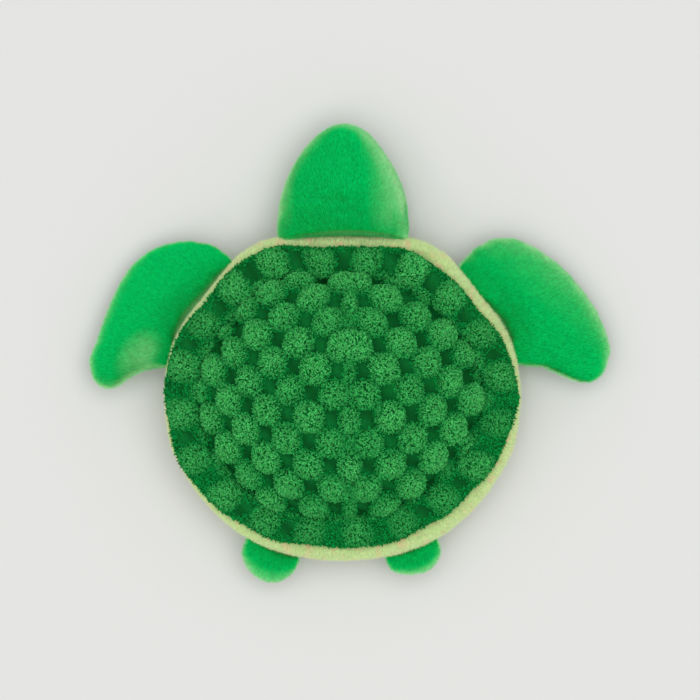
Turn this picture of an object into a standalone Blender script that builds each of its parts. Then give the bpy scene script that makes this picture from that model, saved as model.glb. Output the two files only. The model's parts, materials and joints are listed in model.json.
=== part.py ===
"""A plush turtle: a stuffed body under a domed popcorn-plush shell, with a head, two front flippers and
two rear feet sewn into the seam round the body, so that each of them flaps at its own seam.

The head points along +Y, +X is the turtle's right and +Z is up. The belly lies on the plane z = 0, and the
origin is under the middle of the whole toy. Every limb is modelled in its own frame, with X along its seam,
Y out of the body and Z up. Its empty stands on the line that it flaps about, just outside the seam.
"""

import math

import bmesh
import bpy
import numpy as np
from mathutils import Matrix
from mathutils.geometry import delaunay_2d_cdt

MM = 0.001

# Cloth and clearance
WALL = 2.0 * MM  # plush with its backing
GAP = 0.3 * MM  # between two pieces that touch
STUFFING_GAP = 0.5 * MM  # between the cloth and the stuffing that it holds
MERGE = 0.002 * MM
SHARP_ANGLE = 50.0

# Body
BODY_WIDTH = 156.6 * MM
BODY_LENGTH = 144.4 * MM
SEAM_HEIGHT = 20.0 * MM  # of the seam that the limbs are sewn into
BELLY_CUT = 0.5 * MM  # how deep the belly is cut flat where it lies on the table
BELLY_ROUND = 3.0
BELLY_SHOULDER = 2.0

# Rim, the pale strip between the seam and the shell
RIM_END_WIDTH = 6.0 * MM  # seen from above, before and behind
RIM_SIDE_WIDTH = 3.2 * MM  # seen from above, left and right
RIM_RISE = 12.0 * MM
SHELL_SHIFT = 1.5 * MM  # how far the shell is sewn off the middle, to the left
SHELL_MIDDLE = np.array([-SHELL_SHIFT, 0.0])

# Shell, a flat brim round a dome, with a groove between them
BRIM_RISE = 5.0 * MM
DOME_RISE = 24.0 * MM
GROOVE_DEPTH = 2.4 * MM
GROOVE_WIDTH = 5.0 * MM
GROOVE_SHARE = 0.79
DOME_CAP_SHARE = 1.2  # radius of the round cap that the dome is cut from, in the dome's own half widths

# Popcorn pile, puffs and flat squares in turn. Two halves of the cloth meet on a line and mirror each other
CELL_WIDTH = 9.55 * MM
CELL_LENGTH = 10.4 * MM
PUFF_HEIGHT = 4.0 * MM
PUFF_RADIUS_SHARE = 0.70  # of a cell
PUFF_ROUND = 0.7
DRAPE_RADIUS = 80.0 * MM  # roundness of the dome that the cloth is drawn over
MIDDLE_LINE = 4.4 * MM  # of the line where the halves meet, from the shell's middle
LINE_MARGIN = 0.9 * MM  # bare strip beside that line
COLUMN_OFFSET = 8.2 * MM  # of the first column from that line
COLUMN_BOW_RADIUS = 175.0 * MM  # of the arc that a column lies on
COLUMN_BOW_ROW = 2.2  # the row where a column lies furthest out
ROW_SAG_RADIUS = 161.0 * MM  # of the arc that a row lies on
PATTERN_SHIFT_ALONG = 1.5 * MM
STEPS_PER_CELL = 4
FINE_SHARE = 0.5  # of a cell round a puff's middle, where the cloth has a point at every step
EDGE_MARGIN = 1.6 * MM  # bare strip between the pile and the shell's edge

# Head
HEAD_WIDTH = 63.4 * MM
HEAD_LENGTH = 49.7 * MM
HEAD_TOP_DEPTH = 20.0 * MM
HEAD_TOP_TIP_DEPTH = 13.0 * MM
HEAD_UNDER_DEPTH = 17.5 * MM
HEAD_UNDER_TIP_DEPTH = 12.5 * MM
HEAD_BEARING = 89.2
HEAD_SET = -0.9 * MM  # of its middle along the seam
HEAD_SWING = 22.0  # most degrees that it tips either way from level
NECK_REACH = 12.0 * MM  # from the seam to the line that the head nods about

# Eyes, embroidered low on the sides of the head
EYE_LENGTH = 8.0 * MM
EYE_HEIGHT = 6.0 * MM
EYE_THICKNESS = 0.9 * MM
EYE_PLACE_SHARE = 0.56
EYE_LEVEL = 19.0  # degrees down round the side of the head from its widest line

# Front flippers
FLIPPER_SPREAD = 50.0 * MM
FLIPPER_REACH = 41.6 * MM
FLIPPER_DEPTH = 7.2 * MM
FLIPPER_TIP_DEPTH = 4.8 * MM
FLIPPER_DROOP = 14.0
FLIPPER_CURL = 2.5 * MM
FLIPPER_SWING = 50.0
SHOULDER_REACH = 5.0 * MM
LEFT_FLIPPER_BEARING = 144.5
LEFT_FLIPPER_SET = -5.7 * MM
RIGHT_FLIPPER_BEARING = 32.5
RIGHT_FLIPPER_SET = 3.7 * MM

# Rear feet
FOOT_WIDTH = 30.4 * MM
LEFT_FOOT_LENGTH = 14.6 * MM
RIGHT_FOOT_LENGTH = 10.8 * MM  # pulled a little further into the seam
FOOT_DEPTH = 5.0 * MM
FOOT_TIP_DEPTH = 4.2 * MM
FOOT_DROOP = 28.0
FOOT_SWING = 50.0
ANKLE_REACH = 4.0 * MM
LEFT_FOOT_BEARING = -105.5
LEFT_FOOT_SET = 12.2 * MM
RIGHT_FOOT_BEARING = -71.8
RIGHT_FOOT_SET = -7.9 * MM

# Half of the body's outline from the neck to the tail, in half widths and half lengths
BODY_OUTLINE_SHARES = [
    (0.0, 1.0),
    (0.26, 0.995),
    (0.42, 0.97),
    (0.54, 0.915),
    (0.645, 0.805),
    (0.76, 0.64),
    (0.87, 0.50),
    (0.96, 0.32),
    (1.0, 0.08),
    (0.99, -0.16),
    (0.96, -0.32),
    (0.88, -0.48),
    (0.785, -0.63),
    (0.67, -0.755),
    (0.54, -0.86),
    (0.36, -0.945),
    (0.18, -0.985),
    (0.0, -1.0),
]
# Each limb's outline from the seam up its edge on the +X side of its own frame, to its tip, and from
# there down its other edge to the seam, in widths and lengths of the limb
HEAD_EDGE_SHARES = [
    [(0.48, 0.0), (0.46, 0.14), (0.445, 0.30), (0.39, 0.51), (0.30, 0.71), (0.165, 0.92), (0.01, 1.0)],
    [(-0.13, 0.95), (-0.28, 0.77), (-0.385, 0.54), (-0.435, 0.35), (-0.465, 0.17), (-0.475, 0.0)],
]
LEFT_FLIPPER_EDGE_SHARES = [
    [(0.56, 0.0), (0.56, 0.28), (0.42, 0.60), (0.15, 0.84), (-0.16, 0.88), (-0.46, 0.81), (-0.74, 0.71),
     (-0.96, 0.64), (-1.05, 0.49)],
    [(-1.06, 0.35), (-0.99, 0.25), (-0.86, 0.19), (-0.68, 0.105), (-0.56, 0.0)],
]
RIGHT_FLIPPER_EDGE_SHARES = [
    [(0.51, 0.0), (0.65, 0.165), (0.82, 0.30), (0.95, 0.42), (1.01, 0.55), (0.985, 0.71)],
    [(0.87, 0.88), (0.58, 0.985), (0.26, 0.99), (-0.10, 0.90), (-0.47, 0.65), (-0.58, 0.30), (-0.51, 0.0)],
]
FOOT_EDGE_SHARES = [
    [(0.49, 0.0), (0.44, 0.32), (0.34, 0.66), (0.15, 0.93), (-0.06, 1.0)],
    [(-0.22, 0.93), (-0.36, 0.66), (-0.44, 0.32), (-0.49, 0.0)],
]

CURVE_STEPS = 24  # between two given points of an outline
OUTLINE_POINTS = 320  # round the body, where its shape is only read
# Points round the body, and along each edge and the root of a limb
BODY_POINTS = 40
HEAD_SIDE_POINTS = 12
HEAD_ROOT_POINTS = 5
FLIPPER_SIDE_POINTS = 12
FLIPPER_ROOT_POINTS = 4
FOOT_SIDE_POINTS = 9
FOOT_ROOT_POINTS = 3
# Where the rings of each surface lie, from its outer edge to its middle
BELLY_RING_SHARES = [1.0, 0.955, 0.84, 0.62, 0.35, 0.0]
RIM_RING_SHARES = [0.0, 0.16, 0.50, 1.0]
SHELL_RING_SHARES = [1.0, 0.90, 0.79, 0.70, 0.45, 0.0]
HEAD_RING_SHARES = [1.0, 0.955, 0.84, 0.64, 0.36, 0.0]
FLIPPER_RING_SHARES = [1.0, 0.93, 0.74, 0.42, 0.0]
FOOT_RING_SHARES = [1.0, 0.90, 0.60, 0.0]
# How far along each limb its middle line starts and ends
HEAD_SPINE_SHARES = (0.26, 0.64)
FLIPPER_SPINE_SHARES = (0.26, 0.78)
FOOT_SPINE_SHARES = (0.30, 0.50)
SPINE_CLEARANCE = 1.6  # times how far the stuffing starts from the seam
CLEAR_STEPS = 400  # tried along an arm to find how far out it stays clear of the root
LIMB_ROUND = 2.1
BLEND = 3.0
EYE_POINTS = 16
EYE_PROFILE_SHARES = [(0.0, 0.0), (0.6, 0.0), (1.0, 0.0), (1.0, 0.35), (0.75, 0.8), (0.4, 0.95), (0.0, 1.0)]


def clear_scene():
    for thing in list(bpy.data.objects):
        bpy.data.objects.remove(thing, do_unlink=True)


def plush(name, colour):
    """A matt fabric."""
    material = bpy.data.materials.new(name)
    material.use_nodes = True
    shader = material.node_tree.nodes["Principled BSDF"]
    shader.inputs["Base Color"].default_value = (*colour, 1.0)
    shader.inputs["Roughness"].default_value = 0.9
    shader.inputs["Metallic"].default_value = 0.0
    material.diffuse_color = (*colour, 1.0)
    return material


def smooth_curve(points, closed=False):
    """A Catmull-Rom curve through the given points, and how far along it each of its fine points lies."""
    points = np.array(points, dtype=float)
    if closed:
        padded = np.vstack([points[-1], points, points[0], points[1]])
    else:
        padded = np.vstack([2 * points[0] - points[1], points, 2 * points[-1] - points[-2]])
    fine = []
    for a, b, c, d in zip(padded, padded[1:], padded[2:], padded[3:]):
        for t in np.arange(CURVE_STEPS) / CURVE_STEPS:
            fine.append(
                b + 0.5 * t * ((c - a) + t * ((2 * a - 5 * b + 4 * c - d) + t * (3 * (b - c) + d - a)))
            )
    fine.append(points[0] if closed else points[-1])
    fine = np.array(fine)
    travelled = np.concatenate([[0.0], np.cumsum(np.linalg.norm(np.diff(fine, axis=0), axis=1))])
    return fine, travelled


def read_curve(curve, stations):
    fine, travelled = curve
    return np.stack([np.interp(stations, travelled, fine[:, axis]) for axis in range(2)], axis=1)


def body_outline(count):
    half = np.array(BODY_OUTLINE_SHARES)
    other_half = half[-2:0:-1] * (-1, 1)
    shares = np.vstack([half, other_half])
    curve = smooth_curve(shares * (BODY_WIDTH / 2, BODY_LENGTH / 2), closed=True)
    return read_curve(curve, np.linspace(0.0, curve[1][-1], count, endpoint=False))


def shell_outline(count):
    """The body's outline drawn in by the rim, about the shell's own middle."""
    drawn_in = (1 - 2 * RIM_SIDE_WIDTH / BODY_WIDTH, 1 - 2 * RIM_END_WIDTH / BODY_LENGTH)
    return body_outline(count) * drawn_in


def shell_height(share):
    """Height of the cloth over a point that lies at this share of the way from the middle to the edge."""
    share = np.asarray(share, dtype=float)
    edge = SEAM_HEIGHT + RIM_RISE
    brim = BRIM_RISE * (1 - share) / (1 - GROOVE_SHARE)
    inside = np.clip(share / GROOVE_SHARE, 0.0, 1.0)
    sunk = math.sqrt(DOME_CAP_SHARE**2 - 1)
    dome = DOME_RISE * (np.sqrt(DOME_CAP_SHARE**2 - inside**2) - sunk) / (DOME_CAP_SHARE - sunk)
    half_length = BODY_LENGTH / 2 - RIM_END_WIDTH
    off_groove = (share - GROOVE_SHARE) * half_length / (GROOVE_WIDTH / 2)
    groove = GROOVE_DEPTH * np.exp(-(off_groove**2))
    return edge + np.minimum(brim, BRIM_RISE) + dome - groove


def body_rings():
    """Rings of points from the middle of the belly over the seam and the rim to the top of the shell."""
    outline = body_outline(BODY_POINTS)
    shell = shell_outline(BODY_POINTS) + SHELL_MIDDLE
    rings = []
    for share in reversed(BELLY_RING_SHARES):
        bulge = (1 - share**BELLY_ROUND) ** (1 / BELLY_SHOULDER)
        height = max(SEAM_HEIGHT - (SEAM_HEIGHT + BELLY_CUT) * bulge, 0.0)
        rings.append(np.column_stack([outline * share, np.full(BODY_POINTS, height)]))
    for share in RIM_RING_SHARES[1:]:
        height = SEAM_HEIGHT + RIM_RISE * math.sqrt(1 - (1 - share) ** 2)
        rings.append(np.column_stack([outline + (shell - outline) * share, np.full(BODY_POINTS, height)]))
    for share in SHELL_RING_SHARES[1:]:
        places = SHELL_MIDDLE + (shell - SHELL_MIDDLE) * share
        rings.append(np.column_stack([places, np.full(BODY_POINTS, shell_height(share))]))
    return np.array(rings)


def directions(rings):
    """Along the profile, and square out of the surface, at every point of the rings."""
    along = np.gradient(rings, axis=0)
    around = np.roll(rings, -1, axis=1) - np.roll(rings, 1, axis=1)
    along[0] = along[1]
    along[-1] = along[-2]
    around[0] = around[1]
    around[-1] = around[-2]
    along /= np.linalg.norm(along, axis=2, keepdims=True)
    out = np.cross(along, around)
    out /= np.linalg.norm(out, axis=2, keepdims=True)
    if out[len(out) // 2, 0] @ rings[len(out) // 2, 0] < 0:
        out = -out
    out[0] = (0.0, 0.0, -1.0)
    out[-1] = (0.0, 0.0, 1.0)
    return along, out


def slice_rings(rings, along, first, last):
    """The rings from first to last, each open end drawn back by half a gap."""
    part = rings[first : last + 1].copy()
    if first > 0:
        part[0] += along[first] * GAP / 2
    if last < len(rings) - 1:
        part[-1] -= along[last] * GAP / 2
    return part


def add_rings(mesh, rings):
    """Adds rings of points with the faces between them, and returns the points ring by ring."""
    points = [[mesh.verts.new(place) for place in ring] for ring in rings]
    for lower, upper in zip(points, points[1:]):
        bridge(mesh, lower, upper)
    return points


def bridge(mesh, one, other):
    for i in range(len(one)):
        j = (i + 1) % len(one)
        mesh.faces.new((one[i], one[j], other[j], other[i]))


def finish(name, mesh, material, parent):
    """Merges the points that meet, turns the faces out and makes the object."""
    bmesh.ops.remove_doubles(mesh, verts=mesh.verts, dist=MERGE)
    bmesh.ops.recalc_face_normals(mesh, faces=mesh.faces)
    data = bpy.data.meshes.new(name)
    mesh.to_mesh(data)
    mesh.free()
    data.materials.append(material)
    data.shade_smooth()
    data.set_sharp_from_angle(angle=math.radians(SHARP_ANGLE))
    thing = bpy.data.objects.new(name, data)
    thing.parent = parent
    bpy.context.scene.collection.objects.link(thing)
    return thing


def walled(name, outer, inner, open_ends, material, parent):
    """A cloth piece between an outer and an inner surface, closed along their open edges."""
    mesh = bmesh.new()
    outside = add_rings(mesh, outer)
    inside = add_rings(mesh, inner)
    for end in open_ends:
        bridge(mesh, outside[end], inside[end])
    return finish(name, mesh, material, parent)


def solid(name, rings, material, parent):
    mesh = bmesh.new()
    add_rings(mesh, rings)
    return finish(name, mesh, material, parent)


def pattern_place(across, along):
    """Where a point of the popcorn cloth lies over the shell, from its count of cells: how far beside the
    middle line, and how far towards the head."""
    bow = ((along - COLUMN_BOW_ROW) * CELL_LENGTH) ** 2 / (2 * COLUMN_BOW_RADIUS)
    span = across * CELL_WIDTH + COLUMN_OFFSET - bow
    beside = DRAPE_RADIUS * np.sin(span / DRAPE_RADIUS)
    back = DRAPE_RADIUS * np.sin(along * CELL_LENGTH / DRAPE_RADIUS)
    return beside, PATTERN_SHIFT_ALONG + beside**2 / (2 * ROW_SAG_RADIUS) - back


def shell_share(places, outline):
    """How far each place lies from the shell's middle to its edge."""
    bearings = np.arctan2(outline[:, 1], outline[:, 0])
    order = np.argsort(bearings)
    reach = np.interp(
        np.arctan2(places[:, 1], places[:, 0]),
        bearings[order],
        np.linalg.norm(outline, axis=1)[order],
        period=2 * math.pi,
    )
    return np.linalg.norm(places, axis=1) / reach


def popcorn_grid():
    """Points of half the cloth in cells: fine steps on a puff, and half cells elsewhere."""
    widest = DRAPE_RADIUS * math.pi / 2
    columns = int((widest - COLUMN_OFFSET) / CELL_WIDTH)
    rows = int(widest / CELL_LENGTH)
    steps_across = np.arange(-STEPS_PER_CELL, columns * STEPS_PER_CELL + 1)
    steps_along = np.arange(-rows * STEPS_PER_CELL, rows * STEPS_PER_CELL + 1)
    across, along = (grid.ravel() for grid in np.meshgrid(steps_across, steps_along))
    half = STEPS_PER_CELL // 2
    coarse = (across % half == 0) & (along % half == 0)
    kept = coarse | (puff_distance(across / STEPS_PER_CELL, along / STEPS_PER_CELL) < FINE_SHARE)
    return across[kept] / STEPS_PER_CELL, along[kept] / STEPS_PER_CELL


def puff_distance(across, along):
    """Distance in cells to the nearest puff. Puffs stand on the cells whose two counts add up to an even
    number."""
    column, row = np.round(across), np.round(along)
    on_puff = (column + row) % 2 == 0
    dx, dy = np.abs(across - column), np.abs(along - row)
    beside = np.minimum(np.hypot(1 - dx, dy), np.hypot(dx, 1 - dy))
    return np.where(on_puff, np.hypot(dx, dy), beside)


def popcorn_surface(edge):
    """Points and triangles of the shell's upper side. edge is the ring that it ends on."""
    fine_outline = shell_outline(OUTLINE_POINTS)
    across, along = popcorn_grid()
    beside, towards_head = pattern_place(across, along)
    kept = beside > LINE_MARGIN
    across, along = np.tile(across[kept], 2), np.tile(along[kept], 2)
    beside = np.concatenate([beside[kept], -beside[kept]])
    places = np.column_stack([MIDDLE_LINE + beside, np.tile(towards_head[kept], 2)])
    share = shell_share(places, fine_outline)
    reach = np.linalg.norm(places, axis=1) / share
    kept = reach * (1 - share) > EDGE_MARGIN
    across, along, places = across[kept], along[kept], places[kept]
    share, reach = share[kept], reach[kept]
    off = np.minimum(puff_distance(across, along) / PUFF_RADIUS_SHARE, 1.0)
    rise = PUFF_HEIGHT * (1 - off**2) ** PUFF_ROUND
    height = shell_height(share)
    span = GROOVE_WIDTH / reach
    drop = shell_height(np.maximum(share - span, 0.0)) - shell_height(np.minimum(share + span, 1.0))
    tilt = np.arctan2(drop, 2 * GROOVE_WIDTH)
    away = places / np.linalg.norm(places, axis=1, keepdims=True)
    raised = np.column_stack(
        [places + away * (rise * np.sin(tilt))[:, None], height + rise * np.cos(tilt)]
    )
    flat = [tuple(p[:2] - SHELL_MIDDLE) for p in edge] + [tuple(p) for p in places]
    ring = list(range(len(edge)))
    _, _, faces, origins, _, _ = delaunay_2d_cdt(flat, [], [ring], 1, MERGE)
    raised[:, :2] += SHELL_MIDDLE
    lifted = np.vstack([edge, raised])
    points = [lifted[origin[0]] for origin in origins]
    return points, faces


def shell_cover(edge, inner, material, parent):
    mesh = bmesh.new()
    points, faces = popcorn_surface(edge)
    top = [mesh.verts.new(p) for p in points]
    for face in faces:
        mesh.faces.new([top[i] for i in face])
    inside = add_rings(mesh, inner)
    bridge(mesh, top[: len(edge)], inside[0])
    return finish("shell_cover", mesh, material, parent)


def body(materials):
    parent = bpy.data.objects.new("body", None)
    bpy.context.scene.collection.objects.link(parent)
    outer = body_rings()
    along, out = directions(outer)
    inner = outer - out * WALL
    filling = outer - out * (WALL + STUFFING_GAP)
    seam = len(BELLY_RING_SHARES) - 1
    edge = seam + len(RIM_RING_SHARES) - 1
    top = len(outer) - 1
    for name, first, last, open_ends in (("belly_panel", 0, seam, (-1,)), ("rim_band", seam, edge, (0, -1))):
        outside = slice_rings(outer, along, first, last)
        inside = slice_rings(inner, along, first, last)
        walled(name, outside, inside, open_ends, materials["pale"], parent)
    shell_edge = slice_rings(outer, along, edge, top)[0]
    shell_cover(shell_edge, slice_rings(inner, along, edge, top), materials["popcorn"], parent)
    solid("body_stuffing", filling, materials["stuffing"], parent)
    return parent


class Limb:
    """A stuffed limb: its outline, how thick it is along its length and how it hangs on the body.

    Its frame stands on the line that it turns about, a little way out from the seam. Behind that line it
    is rounded, so that it rolls on the body as it swings.
    """

    def __init__(self, name, edges, size, spine_shares, ring_shares, points, hinge, bend=(0.0, 0.0)):
        self.name = name
        spread, reach = size
        self.bearing, self.along_seam, self.hinge_reach, swing = hinge
        self.swing = math.radians(swing)
        self.droop = math.radians(bend[0])
        self.curl = bend[1]
        self.ring_shares = np.array(ring_shares)
        self.side_points, self.root_points = points
        self.find_root()
        self.length = reach / math.cos(self.droop)
        corners = [np.array(edge) * (spread, self.length) for edge in edges]
        root_ends = [self.root_at(corners[0][0, 0]), self.root_at(corners[1][-1, 0])]
        for edge, end, root_end in zip(corners, (0, -1), root_ends):
            edge[:, 1] += np.mean(root_ends)
            edge[end, 1] = root_end
        curve = smooth_curve(np.vstack(corners))
        tip = curve[1][(len(corners[0]) - 1) * CURVE_STEPS]
        self.edges = (
            read_curve(curve, np.linspace(0.0, tip, self.side_points)),
            read_curve(curve, np.linspace(curve[1][-1], tip, self.side_points)),
        )
        self.places = np.linspace(0.0, 1.0, self.side_points)
        middle = (self.edges[0] + self.edges[1]) / 2
        where = np.interp(self.places, (0.0, 1.0), spine_shares)
        self.spine = np.stack([np.interp(where, self.places, middle[:, axis]) for axis in range(2)], axis=1)
        least = SPINE_CLEARANCE * (WALL + STUFFING_GAP)
        self.spine[:, 1] = np.maximum(self.spine[:, 1], self.root_at(self.spine[:, 0]) + least)

    def find_root(self):
        """The frame, and the body's outline in it, which the limb's root follows a gap away."""
        angle = math.radians(self.bearing)
        out = np.array([math.cos(angle), math.sin(angle)])
        along = np.array([out[1], -out[0]])
        outline = body_outline(OUTLINE_POINTS)
        reach = (outline @ out).max() + GAP
        x, y = out * (reach + self.hinge_reach) + along * self.along_seam
        stand = Matrix(
            (
                (along[0], out[0], 0.0, x),
                (along[1], out[1], 0.0, y),
                (0.0, 0.0, 1.0, SEAM_HEIGHT - self.hinge_reach * math.sin(self.droop)),
                (0.0, 0.0, 0.0, 1.0),
            )
        )
        self.frame = stand @ Matrix.Rotation(-self.droop, 4, "X")
        facing = outline[outline @ out > 0]
        beside = facing @ along - self.along_seam
        order = np.argsort(beside)
        self.body_x = beside[order]
        self.body_y = (facing @ out + GAP - reach)[order] - self.hinge_reach

    def root_at(self, x):
        return np.interp(x, self.body_x, self.body_y)

    def root_height(self, distance, radius):
        """Half the limb's thickness at this distance from its root: round, then a straight slope."""
        distance = np.maximum(distance, 0.0)
        turn = radius * (1 - math.cos(self.swing))
        round_part = np.sqrt(np.maximum(distance * (2 * radius - distance), 0.0))
        straight = radius * math.sin(self.swing) + (distance - turn) / math.tan(self.swing)
        return np.where(distance < turn, round_part, straight)

    def outline(self):
        """Points round the limb from its root up one edge, down the other and back along the root, each
        with its point on the spine and its place along the limb."""
        count = self.root_points
        x = np.linspace(self.edges[1][0, 0], self.edges[0][0, 0], count + 2)[1:-1]
        root = np.column_stack([x, self.root_at(x)])
        points = np.vstack([self.edges[0], self.edges[1][-2::-1], root])
        spine = np.vstack([self.spine, self.spine[-2::-1], np.tile(self.spine[0], (count, 1))])
        places = np.concatenate([self.places, self.places[-2::-1], np.zeros(count)])
        return points, spine, places

    def surface(self, outline, spine, places, shares, depth, inset):
        """Rings from the edge to the spine, with their height over the limb's middle plane. An inset
        surface lies that far inside the outer one."""
        arm = outline - spine
        tried = np.linspace(0.0, 1.0, CLEAR_STEPS)[:, None]
        flat = spine + arm * tried[..., None]
        clear = flat[..., 1] - self.root_at(flat[..., 0]) >= inset
        clear = np.logical_and.accumulate(clear, axis=0)
        most = np.minimum((tried * clear).max(axis=0), 1 - inset / np.linalg.norm(arm, axis=1))
        thick = np.interp(places, (0.0, 1.0), depth) - inset
        rings = []
        for share in shares:
            flat = spine + arm * (most * share)[:, None]
            pillow = thick * (1 - share**LIMB_ROUND) ** (1 / LIMB_ROUND)
            clear = flat[:, 1] - self.root_at(flat[:, 0]) - inset
            root = self.root_height(clear, self.hinge_reach - inset)
            both = (pillow**BLEND + root**BLEND) ** (1 / BLEND)
            height = np.divide(pillow * root, both, out=np.zeros_like(both), where=both > 0)
            rings.append(np.column_stack([flat, height]))
        return np.array(rings)

    def place(self, rings, side, lift):
        """Turns heights into places over or under the middle plane, bent down towards the tip."""
        placed = rings.copy()
        bent = self.curl * (np.maximum(rings[..., 1], 0.0) / self.length) ** 2
        placed[..., 2] = side * (rings[..., 2] + lift) - bent
        return placed

    def rings(self, side, depth, inset, lift):
        surface = self.surface(*self.outline(), self.ring_shares, depth, inset)
        return self.place(surface, side, lift)


def add_limb(limb, depths, materials, panels=("upper_panel", "under_panel")):
    """A limb's upper and under cloth with its stuffing, on an empty that stands on its hinge line."""
    parent = bpy.data.objects.new(limb.name, None)
    parent.matrix_world = limb.frame
    bpy.context.scene.collection.objects.link(parent)
    for panel, side, depth in zip(panels, (1, -1), depths):
        outer = limb.rings(side, depth, 0.0, GAP / 2)
        inner = limb.rings(side, depth, WALL, GAP / 2)
        walled(f"{limb.name}_{panel}", outer, inner, (0,), materials["plush"], parent)
    above = limb.rings(1, depths[0], WALL + STUFFING_GAP, 0.0)
    below = limb.rings(-1, depths[1], WALL + STUFFING_GAP, 0.0)
    filling = np.concatenate([above[::-1], below[1:]])
    solid(f"{limb.name}_stuffing", filling, materials["stuffing"], parent)
    return parent


def add_eye(name, head, depth, edge, material, parent):
    """A raised oval of thread on the under panel, just below the head's widest line."""

    def surface_at(place, level):
        share = math.cos(math.radians(level)) ** (2 / LIMB_ROUND)
        rim, spine = (
            np.array([[np.interp(place, head.places, line[:, axis]) for axis in range(2)]])
            for line in (head.edges[edge], head.spine)
        )
        point = head.surface(rim, spine, np.array([place]), [share], depth, 0.0)
        return head.place(point, -1, GAP / 2)[0, 0]

    centre = surface_at(EYE_PLACE_SHARE, EYE_LEVEL)
    place_step, level_step = 1 / head.side_points, 1.0
    length_step = surface_at(EYE_PLACE_SHARE + place_step, EYE_LEVEL) - centre
    height_step = surface_at(EYE_PLACE_SHARE, EYE_LEVEL + level_step) - centre
    out = np.cross(length_step, height_step)
    out *= (1 if out[0] * centre[0] > 0 else -1) / np.linalg.norm(out)
    half_place = EYE_LENGTH / 2 / np.linalg.norm(length_step) * place_step
    half_level = EYE_HEIGHT / 2 / np.linalg.norm(height_step) * level_step
    rings = []
    for radius, raised in EYE_PROFILE_SHARES:
        ring = []
        for turn in np.linspace(0.0, 2 * math.pi, EYE_POINTS, endpoint=False):
            place = EYE_PLACE_SHARE + half_place * radius * math.cos(turn)
            point = surface_at(place, EYE_LEVEL + half_level * radius * math.sin(turn))
            ring.append(point + out * (GAP + EYE_THICKNESS * raised))
        rings.append(ring)
    return solid(name, np.array(rings), material, parent)


def centre_on_origin(parents):
    """Moves the whole toy so that the origin is under its middle."""
    bpy.context.view_layer.update()
    corners = []
    for thing in bpy.context.scene.objects:
        if thing.type == "MESH":
            places = np.array([thing.matrix_world @ v.co for v in thing.data.vertices])
            corners += [places.min(axis=0), places.max(axis=0)]
    low, high = np.min(corners, axis=0), np.max(corners, axis=0)
    for parent in parents:
        parent.location.x -= (low[0] + high[0]) / 2
        parent.location.y -= (low[1] + high[1]) / 2


def main():
    clear_scene()
    materials = {
        "plush": plush("green_short_plush", (0.004, 0.392, 0.080)),
        "popcorn": plush("dark_green_popcorn_plush", (0.012, 0.235, 0.050)),
        "pale": plush("pale_green_short_plush", (0.470, 0.610, 0.245)),
        "stuffing": plush("polyester_stuffing", (0.880, 0.870, 0.840)),
        "thread": plush("black_thread", (0.010, 0.009, 0.008)),
    }
    parents = [body(materials)]
    head = Limb(
        "head", HEAD_EDGE_SHARES, (HEAD_WIDTH, HEAD_LENGTH), HEAD_SPINE_SHARES, HEAD_RING_SHARES,
        (HEAD_SIDE_POINTS, HEAD_ROOT_POINTS), (HEAD_BEARING, HEAD_SET, NECK_REACH, HEAD_SWING),
    )
    head_depths = ((HEAD_TOP_DEPTH, HEAD_TOP_TIP_DEPTH), (HEAD_UNDER_DEPTH, HEAD_UNDER_TIP_DEPTH))
    parents.append(add_limb(head, head_depths, materials, ("top_panel", "under_panel")))
    for edge, name in enumerate(("right_eye", "left_eye")):
        add_eye(name, head, head_depths[1], edge, materials["thread"], parents[-1])
    for name, edges, bearing, along_seam in (
        ("left_front_flipper", LEFT_FLIPPER_EDGE_SHARES, LEFT_FLIPPER_BEARING, LEFT_FLIPPER_SET),
        ("right_front_flipper", RIGHT_FLIPPER_EDGE_SHARES, RIGHT_FLIPPER_BEARING, RIGHT_FLIPPER_SET),
    ):
        flipper = Limb(
            name, edges, (FLIPPER_SPREAD, FLIPPER_REACH), FLIPPER_SPINE_SHARES, FLIPPER_RING_SHARES,
            (FLIPPER_SIDE_POINTS, FLIPPER_ROOT_POINTS), (bearing, along_seam, SHOULDER_REACH, FLIPPER_SWING),
            (FLIPPER_DROOP, FLIPPER_CURL),
        )
        depth = (FLIPPER_DEPTH, FLIPPER_TIP_DEPTH)
        parents.append(add_limb(flipper, (depth, depth), materials))
    for name, length, bearing, along_seam in (
        ("left_rear_foot", LEFT_FOOT_LENGTH, LEFT_FOOT_BEARING, LEFT_FOOT_SET),
        ("right_rear_foot", RIGHT_FOOT_LENGTH, RIGHT_FOOT_BEARING, RIGHT_FOOT_SET),
    ):
        foot = Limb(
            name, FOOT_EDGE_SHARES, (FOOT_WIDTH, length), FOOT_SPINE_SHARES, FOOT_RING_SHARES,
            (FOOT_SIDE_POINTS, FOOT_ROOT_POINTS), (bearing, along_seam, ANKLE_REACH, FOOT_SWING),
            (FOOT_DROOP, 0.0),
        )
        depth = (FOOT_DEPTH, FOOT_TIP_DEPTH)
        parents.append(add_limb(foot, (depth, depth), materials))
    centre_on_origin(parents)


main()
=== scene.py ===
import json
import math

import bmesh
import bpy
import numpy as np
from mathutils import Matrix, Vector
from mathutils.bvhtree import BVHTree


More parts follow.
